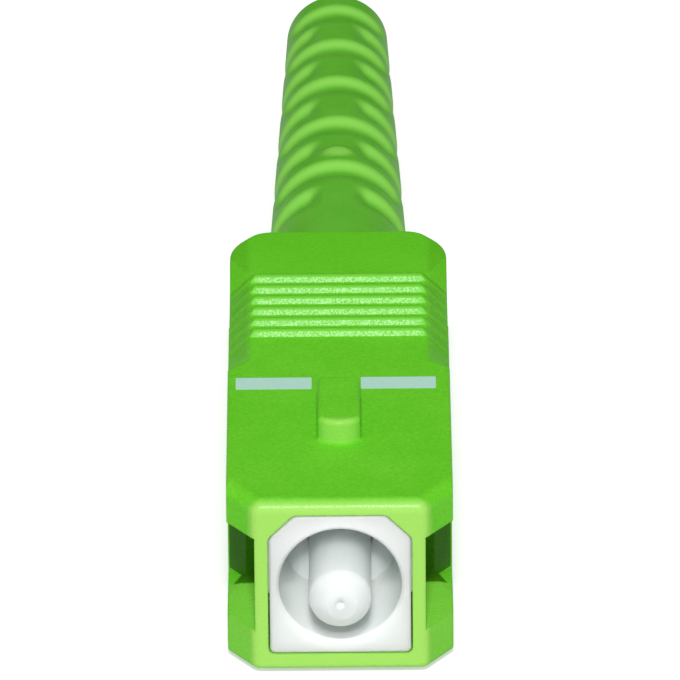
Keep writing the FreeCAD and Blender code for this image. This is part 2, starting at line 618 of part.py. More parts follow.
def crimp_sleeve():
    """Crimp sleeve over the spigot, stepped down to hold the cable jacket."""
    return turned([
        (SLEEVE_BORE, SHOULDER_REAR), (SLEEVE_RADIUS, SHOULDER_REAR),
        (SLEEVE_RADIUS, SLEEVE_STEP_FROM), (SLEEVE_TAIL_RADIUS, SLEEVE_TAIL_FROM),
        (SLEEVE_TAIL_RADIUS, SLEEVE_REAR), (SLEEVE_TAIL_BORE, SLEEVE_REAR),
        (SLEEVE_TAIL_BORE, SLEEVE_TAIL_FROM), (SLEEVE_BORE, SLEEVE_STEP_FROM)])


def boot_radius(y):
    """Outer radius of the boot at y."""
    share = (y - BOOT_TAPER_FROM) / (BOOT_END - BOOT_TAPER_FROM)
    return BOOT_RADIUS + max(share, 0) * (BOOT_END_RADIUS - BOOT_RADIUS)


def slot_ring(wall, depth):
    """Ring cutter with a steep rear wall at y = wall, an eased crest and a sloped front."""
    crest = boot_radius(wall)
    floor = crest - depth
    out = floor + SLOT_REACH
    foot = wall - SLOT_FLOOR
    return turned([
        (crest, wall + SLOT_CREST), (crest - SLOT_CREST, wall), (floor, wall), (floor, foot),
        (out, foot - SLOT_RAMP * SLOT_REACH / depth), (out, wall + SLOT_CREST)])


def boot():
    """Soft strain-relief boot: side slots and top-and-bottom slots take turns along it."""
    sleeve_bore = SLEEVE_RADIUS + BOOT_FIT
    tail_bore = SLEEVE_TAIL_RADIUS + BOOT_FIT
    end = BOOT_END - BOOT_END_ROUND
    rim = boot_radius(end)
    corner = 1 - math.sqrt(0.5)
    before = [V(r, y, 0) for r, y in [
        (rim - BOOT_END_ROUND, BOOT_END), (CABLE_BORE_RADIUS + CABLE_MOUTH, BOOT_END),
        (CABLE_BORE_RADIUS, BOOT_END - CABLE_MOUTH), (CABLE_BORE_RADIUS, SLEEVE_REAR),
        (tail_bore, SLEEVE_REAR), (tail_bore, SLEEVE_TAIL_FROM), (sleeve_bore, SLEEVE_STEP_FROM),
        (sleeve_bore, SHOULDER_REAR), (BOOT_RADIUS, SHOULDER_REAR), (BOOT_RADIUS, BOOT_TAPER_FROM),
        (rim, end)]]
    bulge = V(rim - BOOT_END_ROUND * corner, BOOT_END - BOOT_END_ROUND * corner, 0)
    rounding = Part.Arc(before[-1], bulge, before[0]).toShape()
    outline = Part.Wire(Part.makePolygon(before).Edges + [rounding])
    body = Part.Face(outline).revolve(ORIGIN, ALONG, 360)
    far = BOOT_RADIUS + SLOT_REACH
    side_zone = block(WEB_HALF, far, 0, BOOT_END, -far, far)
    top_zone = block(-far, far, 0, BOOT_END, WEB_HALF, far)
    wall = SLOT_FIRST
    pitch = SLOT_FIRST_PITCH
    depth = SLOT_DEPTH
    for row in range(SLOT_ROWS):
        ring = slot_ring(wall, depth)
        zones = mirrored(side_zone, V(1, 0, 0)) if row % 2 == 0 else mirrored(top_zone, UP)
        for zone in zones:
            body = body.cut(ring.common(zone))
        wall += pitch
        pitch *= SLOT_PITCH_RATIO
        depth *= SLOT_DEPTH_RATIO
    base = boot_radius(GATE_PAD_AT) - SLOT_DEPTH
    pad = Part.makeCylinder(GATE_PAD_RADIUS, SLOT_DEPTH + GATE_PAD_HEIGHT,
                            V(0, GATE_PAD_AT, base), UP)
    return body.fuse(pad)


NODES = {
    "coupling_grip": coupling_grip,
    "plug_frame": plug_frame,
    "ferrule": ferrule,
    "ferrule_flange": ferrule_flange,
    "guide_tube": guide_tube,
    "ferrule_spring": ferrule_spring,
    "rear_body": rear_body,
    "crimp_sleeve": crimp_sleeve,
    "boot": boot,
}

os.makedirs("parts", exist_ok=True)
for name, make in NODES.items():
    shape = make()
    shape.exportStep("parts/" + name + ".step")
    box = shape.BoundBox
    print(name, shape.isValid(), len(shape.Solids), round(shape.Volume, 3), box)
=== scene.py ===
"""Looks of a square push-pull fibre plug: finishes, printed marks, studio and camera."""

import logging
import math
from dataclasses import dataclass, field
from enum import Enum
from typing import Optional, Union

import bmesh
import bpy
from mathutils import Matrix, Vector


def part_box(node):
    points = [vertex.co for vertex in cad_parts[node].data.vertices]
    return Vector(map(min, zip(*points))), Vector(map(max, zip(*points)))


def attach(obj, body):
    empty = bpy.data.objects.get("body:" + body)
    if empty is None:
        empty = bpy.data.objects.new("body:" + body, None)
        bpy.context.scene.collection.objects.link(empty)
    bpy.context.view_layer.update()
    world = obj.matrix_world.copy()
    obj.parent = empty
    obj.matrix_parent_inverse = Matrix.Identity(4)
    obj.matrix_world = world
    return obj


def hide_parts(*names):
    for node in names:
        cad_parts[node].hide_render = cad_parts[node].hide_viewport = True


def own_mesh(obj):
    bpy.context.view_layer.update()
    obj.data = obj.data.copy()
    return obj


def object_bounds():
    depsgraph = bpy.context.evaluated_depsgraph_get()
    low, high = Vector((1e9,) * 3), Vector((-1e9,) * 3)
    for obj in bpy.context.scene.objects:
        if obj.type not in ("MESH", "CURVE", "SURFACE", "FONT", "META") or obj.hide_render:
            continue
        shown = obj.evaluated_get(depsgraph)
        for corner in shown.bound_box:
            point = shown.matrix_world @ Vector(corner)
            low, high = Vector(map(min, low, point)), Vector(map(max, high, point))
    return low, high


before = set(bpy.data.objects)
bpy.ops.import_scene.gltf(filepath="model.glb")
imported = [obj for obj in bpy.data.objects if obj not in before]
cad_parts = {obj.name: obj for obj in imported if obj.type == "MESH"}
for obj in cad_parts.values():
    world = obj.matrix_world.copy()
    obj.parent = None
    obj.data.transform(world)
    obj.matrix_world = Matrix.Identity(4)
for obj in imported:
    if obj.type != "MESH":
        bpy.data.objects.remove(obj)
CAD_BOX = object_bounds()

MM = 0.001
WHITE = (1.0, 1.0, 1.0)
CENTRE = (0.0, 0.0, 0.0)
ALONG = (0.0, 1.0, 0.0)
UP = (0.0, 0.0, 1.0)
BEVEL_RAYS = 6
Span = tuple[float, float]
Triple = tuple[float, float, float]
Colour = Triple
log = logging.getLogger("fibre_plug")


class Side(Enum):
    """The two sides of the key, seen from the nose."""

    LEFT = "left"
    RIGHT = "right"


class Signal:
    """One shader number that takes part in Python arithmetic."""

    def __init__(self, wiring: "Wiring", socket: bpy.types.NodeSocket) -> None:
        """Wrap a socket.

        Args:
            wiring: the node tree that the socket belongs to.
            socket: the output socket to read.
        """
        self.wiring = wiring
        self.socket = socket

    def _math(self, operation: str, *values: "Number") -> "Signal":
        """Add one Math node.

        Args:
            operation: the node's operation.
            values: its inputs, in order.

        Returns:
            The node's output.
        """
        node = self.wiring.node(
            "ShaderNodeMath", {"operation": operation}, dict(enumerate(values)))
        return Signal(self.wiring, node.outputs[0])

    def __add__(self, other: "Number") -> "Signal":
        """Sum."""
        return self._math("ADD", self, other)

    __radd__ = __add__

    def __sub__(self, other: "Number") -> "Signal":
        """Difference."""
        return self._math("SUBTRACT", self, other)

    def __rsub__(self, other: "Number") -> "Signal":
        """Difference from a plain number."""
        return self._math("SUBTRACT", other, self)

    def __mul__(self, other: "Number") -> "Signal":
        """Product."""
        return self._math("MULTIPLY", self, other)

    __rmul__ = __mul__

    def __truediv__(self, other: "Number") -> "Signal":
        """Quotient."""
        return self._math("DIVIDE", self, other)

    def __rtruediv__(self, other: "Number") -> "Signal":
        """Quotient of a plain number."""
        return self._math("DIVIDE", other, self)

    def __abs__(self) -> "Signal":
        """Size without sign."""
        return self._math("ABSOLUTE", self)

    def most(self, other: "Number") -> "Signal":
        """The larger of two values."""
        return self._math("MAXIMUM", self, other)

    def swing(self, amount: float) -> "Signal":
        """A noise centred on zero and scaled to an amount."""
        return (self - 0.5) * amount


Number = Union[Signal, float]


@dataclass(frozen=True)
class Grain:
    """One procedural grain: the size of its blots, its finer layers and its stretch."""

    size: float
    detail: float = 2.0
    roughness: float = 0.5
    stretch: Triple = (1.0, 1.0, 1.0)


class Wiring:
    """A node tree whose nodes are all added through one method."""

    def __init__(self, tree: bpy.types.NodeTree) -> None:
        """Take over a tree and empty it."""
        self.tree = tree
        self.tree.nodes.clear()

    def node(self, kind: str, settings: Optional[dict] = None,
             inputs: Optional[dict] = None) -> bpy.types.Node:
        """Add a node.

        Args:
            kind: the node's type.
            settings: attributes that are set first.
            inputs: values or links by socket name or number.

        Returns:
            The new node.
        """
        made = self.tree.nodes.new(kind)
        for key, value in (settings or {}).items():
            setattr(made, key, value)
        for key, value in (inputs or {}).items():
            self.feed(made.inputs[key], value)
        return made

    def feed(self, socket: bpy.types.NodeSocket, value: object) -> None:
        """Link or set a socket.

        Args:
            socket: the input to fill.
            value: a signal, an output socket, a number or a tuple.
        """
        if isinstance(value, Signal):
            self.tree.links.new(value.socket, socket)
        elif isinstance(value, bpy.types.NodeSocket):
            self.tree.links.new(value, socket)
        elif isinstance(value, tuple) and socket.type == "RGBA":
            socket.default_value = (*value, 1.0)
        else:
            socket.default_value = value

    def rays(self, kind: str, *others: str) -> Signal:
        """Tell kinds of ray apart.

        Args:
            kind: the ray's kind, as Light Path names it.
            others: further kinds.

        Returns:
            1 for a ray of any of the kinds, else 0.
        """
        path = self.node("ShaderNodeLightPath")
        found = Signal(self, path.outputs[kind])
        for other in others:
            found = found.most(Signal(self, path.outputs[other]))
        return found


class Graph(Wiring):
    """The node graph of one material, with its principled shader."""

    def __init__(self, name: str) -> None:
        """Make a material.

        Args:
            name: the material's name.
        """
        self.material = bpy.data.materials.new(name)
        self.material.use_nodes = True
        super().__init__(self.material.node_tree)
        self.shader = self.node("ShaderNodeBsdfPrincipled")
        self.end = self.node("ShaderNodeOutputMaterial", {}, {"Surface": self.shader.outputs[0]})

    def place(self) -> bpy.types.NodeSocket:
        """Object coordinates in metres."""
        return self.node("ShaderNodeTexCoord").outputs["Object"]

    def axes(self) -> tuple[Signal, Signal, Signal]:
        """Object coordinates in millimetres, one signal for each axis."""
        split = self.node("ShaderNodeSeparateXYZ", {}, {0: self.place()})
        return tuple(Signal(self, out) / MM for out in split.outputs)

    def noise(self, grain: Grain) -> Signal:
        """Noise on object coordinates.

        Args:
            grain: its blots, with their size in millimetres.

        Returns:
            The noise, about 0.5 on average.
        """
        scale = tuple(1.0 / (grain.size * MM * s) for s in grain.stretch)
        spot = self.node("ShaderNodeMapping", {"vector_type": "POINT"},
                         {"Vector": self.place(), "Scale": scale})
        made = self.node("ShaderNodeTexNoise", {"noise_dimensions": "3D"},
                         {"Vector": spot.outputs[0], "Scale": 1.0, "Detail": grain.detail,
                          "Roughness": grain.roughness})
        return Signal(self, made.outputs["Fac"])

    def rise(self, value: Signal, span: Span) -> Signal:
        """Smooth rise from 0 where the span starts to 1 where it ends.

        Args:
            value: the number to test.
            span: start and end of the rise.

        Returns:
            The rise.
        """
        low, high = span
        made = self.node("ShaderNodeMapRange", {"interpolation_type": "SMOOTHSTEP"},
                         {"Value": value, "From Min": low, "From Max": high})
        return Signal(self, made.outputs[0])

    def fall(self, value: Signal, span: Span) -> Signal:
        """Smooth fall from 1 where the span starts to 0 where it ends."""
        return 1.0 - self.rise(value, span)

    def mix(self, share: Number, first: object, second: object) -> bpy.types.NodeSocket:
        """Blend two colours.

        Args:
            share: 0 for the first, 1 for the second.
            first: a colour or a socket.
            second: a colour or a socket.

        Returns:
            The blended colour.
        """
        factor, a, b, result = 0, 6, 7, 2
        made = self.node("ShaderNodeMix", {"data_type": "RGBA"},
                         {factor: share, a: first, b: second})
        return made.outputs[result]

    def softened(self, radius: float) -> bpy.types.NodeSocket:
        """Normal that turns smoothly over the edges.

        Args:
            radius: the edges' rounding in millimetres.

        Returns:
            The rounded normal.
        """
        made = self.node("ShaderNodeBevel", {"samples": BEVEL_RAYS}, {"Radius": radius * MM})
        return made.outputs[0]

    def bump(self, height: Signal, depth: float,
             under: Optional[bpy.types.NodeSocket] = None) -> bpy.types.NodeSocket:
        """Relief from a height signal.

        Args:
            height: the relief, from 0 to 1.
            depth: how deep 1 is, in millimetres.
            under: the normal that the relief is laid on.

        Returns:
            The bent normal.
        """
        made = self.node("ShaderNodeBump", {}, {
            "Strength": 1.0, "Distance": depth * MM, "Height": height})
        if under is not None:
            self.feed(made.inputs["Normal"], under)
        return made.outputs[0]

    def finish(self, colour: object, roughness: Number, normal: bpy.types.NodeSocket,
               others: Optional[dict] = None) -> bpy.types.Material:
        """Fill the principled shader.

        Args:
            colour: base colour or its socket.
            roughness: roughness or its signal.
            normal: the normal from bump.
            others: further sockets by name.

        Returns:
            The finished material.
        """
        sockets = {"Base Color": colour, "Roughness": roughness, "Normal": normal}
        for key, value in {**sockets, **(others or {})}.items():
            self.feed(self.shader.inputs[key], value)
        return self.material


def blend_colours(a: Colour, b: Colour, share: float) -> Colour:
    """The colour part of the way from a to b."""
    return tuple(x + (y - x) * share for x, y in zip(a, b))


@dataclass(frozen=True)
class MouldedShell:
    """Satin moulded shell: fine spark texture, faint parting line, painted sheen on the nose
    face, key front, channel sills and rib crests, and painted shade towards the tail, on the rear
    edge chamfers, on the rib crests and on the latch channels' inner walls.

    Spans are in millimetres along the axis that dress() reads them on.
    """

    name: str = "green_moulded_shell"
    colour: Colour = (0.165, 0.700, 0.028)
    pale: Colour = (0.200, 0.755, 0.038)
    deep: Colour = (0.132, 0.645, 0.018)
    painted_sheen: Colour = (0.395, 0.790, 0.138)
    painted_shade: Colour = (0.050, 0.210, 0.006)
    cloud: Grain = Grain(2.6, 3.0, 0.55)
    mottle: Grain = Grain(0.17, 3.0, 0.6)
    spark: Grain = Grain(0.075, 2.0, 0.60)
    glint: Grain = Grain(0.075, 2.0, 0.6)
    cloud_share: float = 0.4
    contrast: Span = (0.35, 0.65)
    even_share: float = 0.35
    tail: Span = (17.5, 25.0)
    tail_share: float = 0.55
    flank: Span = (3.62, 3.90)
    flank_start: Span = (12.9, 14.4)
    flank_share: float = 0.19
    key_front: Span = (5.35, 5.70)
    key_foot: Span = (3.74, 3.82)
    key_share: float = 0.68
    nose_sheen: Span = (0.00, 0.50)
    side_skin: Span = (4.46, 4.50)
    sill: Span = (2.80, 3.00)
    sill_stop: Span = (4.30, 4.40)
    sill_top: Span = (-0.80, 0.00)
    sill_share: float = 0.30
    pocket: Span = (2.78, 2.82)
    pocket_start: Span = (4.20, 4.40)
    pocket_stop: Span = (6.20, 6.40)
    pocket_half: Span = (2.12, 2.14)
    ribs_start: Span = (14.95, 15.00)
    ribs_stop: Span = (21.40, 21.50)
    ribs_half: Span = (3.10, 3.75)
    ribs_crest: Span = (3.70, 3.72)
    ribs_sheen: float = 0.20
    nose_glint: Span = (0.70, 1.00)
    nose_edge: Span = (3.20, 3.30)
    glint_contrast: Span = (0.28, 0.72)
    glint_coat: float = 0.50
    glint_rough: float = 0.30
    specular: float = 0.04
    roughness: float = 0.24
    mottle_rough: float = 0.20
    cloud_rough: float = 0.05
    spark_depth: float = 0.030
    edge_radius: float = 0.10
    seam_x: float = -0.10
    seam: Span = (0.00, 0.04)
    seam_depth: float = 0.006

    def dress(self) -> bpy.types.Material:
        """Build the material.

        Returns:
            The finished material.
        """
        g = Graph(self.name)
        x, y, z = g.axes()
        cloud, mottle = g.noise(self.cloud), g.noise(self.mottle)
        blots = cloud * self.cloud_share + mottle * (1.0 - self.cloud_share)
        tone = g.mix(g.rise(blots, self.contrast), self.deep, self.pale)
        tone = g.mix(self.even_share, tone, self.colour)
        # painted shade: the shell turns darker green towards its tail
        tone = g.mix(g.rise(y, self.tail) * self.tail_share, tone, self.deep)
        # painted shade on the rear edge chamfers, in the dark colour
        flank = g.rise(abs(x), self.flank) * g.rise(y, self.flank_start)
        tone = g.mix(flank * self.flank_share, tone, self.painted_shade)
        on_key = g.fall(y, self.key_front) * g.rise(z, self.key_foot) * self.key_share
        inner = g.fall(abs(x), self.side_skin)
        sill = g.rise(abs(x), self.sill) * inner
        sill = sill * g.fall(y, self.sill_stop) * g.fall(z, self.sill_top)
        # painted sheen: a paler colour on the nose face, the key's front and the channel sills,
        # where the light falls strongest
        painted_sheen = g.fall(y, self.nose_sheen).most(on_key).most(sill * self.sill_share)
        tone = g.mix(painted_sheen, tone, self.painted_sheen)
        # painted shade: the latch channels' inner walls take the dark colour
        pocket = g.rise(abs(x), self.pocket) * g.rise(y, self.pocket_start)
        pocket = pocket * g.fall(y, self.pocket_stop) * g.fall(abs(z), self.pocket_half) * inner
        tone = g.mix(pocket, tone, self.painted_shade)
        ribs = g.rise(y, self.ribs_start) * g.fall(y, self.ribs_stop)
        ribs = ribs * g.rise(z, self.ribs_crest) * g.fall(abs(x), self.ribs_half)
        # painted shade and painted sheen on the rib crests: mostly the darker green, with a
        # little of the pale sheen colour
        tone = g.mix(ribs, tone, blend_colours(self.deep, self.painted_sheen, self.ribs_sheen))
        nose = g.fall(y, self.nose_glint) * g.rise(z, self.nose_edge)
        glints = g.rise(g.noise(self.glint), self.glint_contrast) * ribs.most(nose).most(on_key)
        rough = self.roughness + mottle.swing(self.mottle_rough) + cloud.swing(self.cloud_rough)
        fine = g.bump(g.noise(self.spark), self.spark_depth, g.softened(self.edge_radius))
        line = g.bump(g.fall(abs(x - self.seam_x), self.seam), self.seam_depth, fine)
        return g.finish(tone, rough, line, {
            "Specular IOR Level": self.specular, "Coat Roughness": self.glint_rough,
            "Coat Weight": glints * self.glint_coat})


@dataclass(frozen=True)
class WhiteResin:
    """Smooth white engineering resin with faint flow marks."""

    name: str = "white_resin"
    colour: Colour = (0.860, 0.925, 0.895)
    warm: Colour = (0.870, 0.925, 0.890)
    flow: Grain = Grain(1.8, 2.0, 0.5, (1.0, 3.0, 1.0))
    flow_contrast: Span = (0.35, 0.65)
    skin: Grain = Grain(0.09, 2.0, 0.6)
    skin_depth: float = 0.004
    skin_rough: float = 0.16
    scatter: float = 0.7
    scatter_tint: Triple = (0.85, 1.0, 0.9)
    scatter_reach: float = 1.3
    specular: float = 0.2
    roughness: float = 0.38
    edge_radius: float = 0.06

    def dress(self) -> bpy.types.Material:
        """Build the material.

        Returns:
            The finished material.
        """
        g = Graph(self.name)
        tone = g.mix(g.rise(g.noise(self.flow), self.flow_contrast), self.colour, self.warm)
        skin = g.noise(self.skin)
        rough = self.roughness + skin.swing(self.skin_rough)
        relief = g.bump(skin, self.skin_depth, g.softened(self.edge_radius))
        return g.finish(tone, rough, relief, {
            "Subsurface Weight": self.scatter, "Subsurface Radius": self.scatter_tint,
            "Subsurface Scale": self.scatter_reach * MM, "Specular IOR Level": self.specular})


@dataclass(frozen=True)
class Zirconia:
    """Ground white ceramic, slightly translucent, with circular grinding marks."""

    name: str = "white_zirconia"
    colour: Colour = (0.595, 0.630, 0.625)
    shade: Colour = (0.585, 0.620, 0.620)
    cloud: Grain = Grain(0.9, 2.0, 0.5)
    cloud_contrast: Span = (0.3, 0.7)
    grind: Grain = Grain(0.05, 2.0, 0.6, (40.0, 1.0, 40.0))
    grind_depth: float = 0.0015
    grind_rough: float = 0.12
    scatter: float = 1.0
    scatter_tint: Triple = (1.0, 1.0, 0.95)
    scatter_reach: float = 5.5
    specular: float = 0.2
    roughness: float = 0.30

    def dress(self) -> bpy.types.Material:
        """Build the material.

        Returns:
            The finished material.
        """
        g = Graph(self.name)
        tone = g.mix(g.rise(g.noise(self.cloud), self.cloud_contrast), self.shade, self.colour)
        grind = g.noise(self.grind)
        rough = self.roughness + grind.swing(self.grind_rough)
        return g.finish(tone, rough, g.bump(grind, self.grind_depth), {
            "Subsurface Weight": self.scatter, "Subsurface Radius": self.scatter_tint,
            "Subsurface Scale": self.scatter_reach * MM, "Specular IOR Level": self.specular})


@dataclass(frozen=True)
class TurnedMetal:
    """Turned metal whose tool marks run round the connector axis."""

    name: str
    colour: Colour
    stain: Colour
    roughness: float
    marks: Grain = Grain(0.06, 3.0, 0.6, (30.0, 1.0, 30.0))
    marks_depth: float = 0.003
    marks_rough: float = 0.2
    cloud: Grain = Grain(1.2, 3.0, 0.55)
    cloud_contrast: Span = (0.35, 0.75)
    cloud_rough: float = 0.1

    def dress(self) -> bpy.types.Material:
        """Build the material.

        Returns:
            The finished material.
        """
        g = Graph(self.name)
        marks, cloud = g.noise(self.marks), g.noise(self.cloud)
        tone = g.mix(g.rise(cloud, self.cloud_contrast), self.colour, self.stain)
        rough = self.roughness + marks.swing(self.marks_rough) + cloud.swing(self.cloud_rough)
        return g.finish(tone, rough, g.bump(marks, self.marks_depth), {"Metallic": 1.0})


@dataclass(frozen=True)
class DrawnStock:
    """Pale stock drawn to length, slightly milky, streaked along the axis."""

    name: str = "guide_tube_plastic"
    colour: Colour = (0.80, 0.80, 0.78)
    roughness: float = 0.42
    streak: Grain = Grain(0.12, 2.0, 0.5, (1.0, 25.0, 1.0))
    streak_depth: float = 0.003
    streak_rough: float = 0.1
    streak_dark: float = 0.06

    def dress(self) -> bpy.types.Material:
        """Build the material.

        Returns:
            The finished material.
        """
        g = Graph(self.name)
        streak = g.noise(self.streak)
        darker = tuple(c * (1.0 - self.streak_dark) for c in self.colour)
        rough = self.roughness + streak.swing(self.streak_rough)
        return g.finish(g.mix(streak, darker, self.colour), rough,
                        g.bump(streak, self.streak_depth))


@dataclass(frozen=True)
class BootElastomer:
    """Soft green elastomer with a satin skin and a faint grey bloom, and a painted highlight on
    the slots' lit walls and on the gate mark.
    """

    name: str = "green_boot_elastomer"
    colour: Colour = (0.145, 0.560, 0.038)
    pale: Colour = (0.170, 0.605, 0.050)
    deep: Colour = (0.120, 0.515, 0.028)
    painted_highlight: Colour = (0.290, 0.755, 0.105)
    highlight_attribute: str = "painted_highlight"
    cloud: Grain = Grain(2.4, 3.0, 0.5)
    skin: Grain = Grain(0.16, 3.0, 0.55)
    cloud_share: float = 0.6
    contrast: Span = (0.35, 0.65)
    even_share: float = 0.45
    skin_depth: float = 0.010
    skin_rough: float = 0.16
    specular: float = 0.10
    roughness: float = 0.36

    def dress(self) -> bpy.types.Material:
        """Build the material.

        Returns:
            The finished material.
        """
        g = Graph(self.name)
        skin = g.noise(self.skin)
        blots = g.noise(self.cloud) * self.cloud_share + skin * (1.0 - self.cloud_share)
        tone = g.mix(g.rise(blots, self.contrast), self.deep, self.pale)
        tone = g.mix(self.even_share, tone, self.colour)
        # painted highlight: the share stored on the skin turns the slots' lit walls and the gate
        # mark paler
        second_tone = g.node("ShaderNodeAttribute", {"attribute_name": self.highlight_attribute})
        tone = g.mix(second_tone.outputs["Fac"], tone, self.painted_highlight)
        rough = self.roughness + skin.swing(self.skin_rough)
        return g.finish(tone, rough, g.bump(skin, self.skin_depth), {
            "Specular IOR Level": self.specular})


@dataclass(frozen=True)
class PrintInk:
    """Pale pad-printed ink, thin enough to break up over the shell's texture."""

    name: str = "pale_print_ink"
    colour: Colour = (0.540, 0.865, 0.735)
    second_tone: Colour = (0.420, 0.830, 0.560)
    wear: Grain = Grain(0.20, 3.0, 0.65)
    wear_contrast: Span = (0.52, 0.80)
    wear_depth: float = 0.006
    wear_rough: float = 0.2
    roughness: float = 0.5

    def dress(self) -> bpy.types.Material:
        """Build the material.

        Returns:
            The finished material.
        """
        g = Graph(self.name)
        wear = g.noise(self.wear)
        tone = g.mix(g.rise(wear, self.wear_contrast), self.colour, self.second_tone)
        rough = self.roughness + wear.swing(self.wear_rough)
        return g.finish(tone, rough, g.bump(wear, self.wear_depth))


@dataclass(frozen=True)
class MattSheet:
    """Matt paper or card, which may also glow to the camera alone."""

    name: str
    dark: Colour
    light: Colour
    grain: Grain
    grain_depth: float
    glow: float = 0.0
    roughness: float = 0.9

    def dress(self) -> bpy.types.Material:
        """Build the material.

        Returns:
            The finished material.
        """
        g = Graph(self.name)
        grain = g.noise(self.grain)
        g.finish(g.mix(grain, self.dark, self.light), self.roughness,
                 g.bump(grain, self.grain_depth), {"Specular IOR Level": 0.0})
        if self.glow:
            glow = g.node("ShaderNodeEmission", {}, {
                "Color": WHITE, "Strength": g.rays("Is Camera Ray") * self.glow})
            both = g.node("ShaderNodeAddShader", {}, {0: g.shader.outputs[0], 1: glow.outputs[0]})
            g.feed(g.end.inputs["Surface"], both.outputs[0])
        return g.material


def dress_node(name: str, material: bpy.types.Material) -> bpy.types.Object:
    """Give a carried-over solid its finish.

    Args:
        name: the solid's node name.
        material: the finish.

    Returns:
        The solid's object.
    """
    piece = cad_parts[name]
    piece.data.materials.clear()
    piece.data.materials.append(material)
    log.info("dressed %s with %s", name, material.name)
    return piece


def link_mesh(name: str, shape: bmesh.types.BMesh,
              material: bpy.types.Material) -> bpy.types.Object:
    """Turn a bmesh into an object of the scene.

    Args:
        name: the object's name.
        shape: its mesh, which is freed.
        material: its finish.

    Returns:
        The new object.
    """
    mesh = bpy.data.meshes.new(name)
    shape.to_mesh(mesh)
    shape.free()
    mesh.materials.append(material)
    made = bpy.data.objects.new(name, mesh)
    bpy.context.scene.collection.objects.link(made)
    return made


def add_piece(name: str, shape: bmesh.types.BMesh, material: bpy.types.Material,
              body: str) -> bpy.types.Object:
    """Turn a bmesh into a finished piece that rides on a body.

    Args:
        name: the piece's name.
        shape: its mesh, which is freed.
        material: its finish.
        body: the body that it rides on.

    Returns:
        The new object.
    """
    bmesh.ops.recalc_face_normals(shape, faces=shape.faces)
    piece = link_mesh(name, shape, material)
    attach(piece, body)
    log.info("added %s on %s", name, body)
    return piece


@dataclass
class CouplingShell:
    """The sliding green shell and the two printed marks beside its key."""

    mark_from: float = 10.30
    mark_to: float = 11.37
    mark_thickness: float = 0.012
    mark_corner: float = 0.06
    corner_steps: int = 3
    mark_ends: dict[Side, Span] = field(default_factory=lambda: {
        Side.LEFT: (-4.20, -1.11), Side.RIGHT: (0.90, 3.95)})
    face_height: float = 3.7
    shell_finish: MouldedShell = MouldedShell()
    mark_finish: PrintInk = PrintInk()

    def mark(self, side: Side) -> bmesh.types.BMesh:
        """One printed mark.

        Args:
            side: which side of the key it lies on.

        Returns:
            A thin bar on the key-side face.
        """
        left, right = self.mark_ends[side]
        size = Vector((right - left, self.mark_to - self.mark_from, self.mark_thickness))
        middle = Vector(((left + right) / 2, (self.mark_from + self.mark_to) / 2,
                         self.face_height))
        shape = bmesh.new()
        bmesh.ops.create_cube(shape, size=1.0)
        bmesh.ops.scale(shape, vec=size * MM, verts=shape.verts)
        bmesh.ops.translate(shape, vec=middle * MM, verts=shape.verts)
        upright = [e for e in shape.edges
                   if abs(e.verts[0].co.z - e.verts[1].co.z) > self.mark_thickness * MM / 2]
        bmesh.ops.bevel(shape, geom=upright, offset=self.mark_corner * MM,
                        segments=self.corner_steps, affect="EDGES", profile=0.5, material=-1)
        return shape

    def build(self) -> None:
        """Dress the shell and lay its printed marks."""
        dress_node("coupling_grip", self.shell_finish.dress())
        ink = self.mark_finish.dress()
        for side in Side:
            add_piece("print_" + side.value, self.mark(side), ink, "grip")


@dataclass
class PlugHousing:
    """The white plug frame and the metal rear body that closes it."""

    frame_finish: WhiteResin = WhiteResin()
    body_finish: TurnedMetal = TurnedMetal(
        "nickel_plated_body", (0.66, 0.64, 0.59), (0.56, 0.55, 0.50), 0.30)

    def build(self) -> None:
        """Dress the frame and the rear body."""
        dress_node("plug_frame", self.frame_finish.dress())
        dress_node("rear_body", self.body_finish.dress())


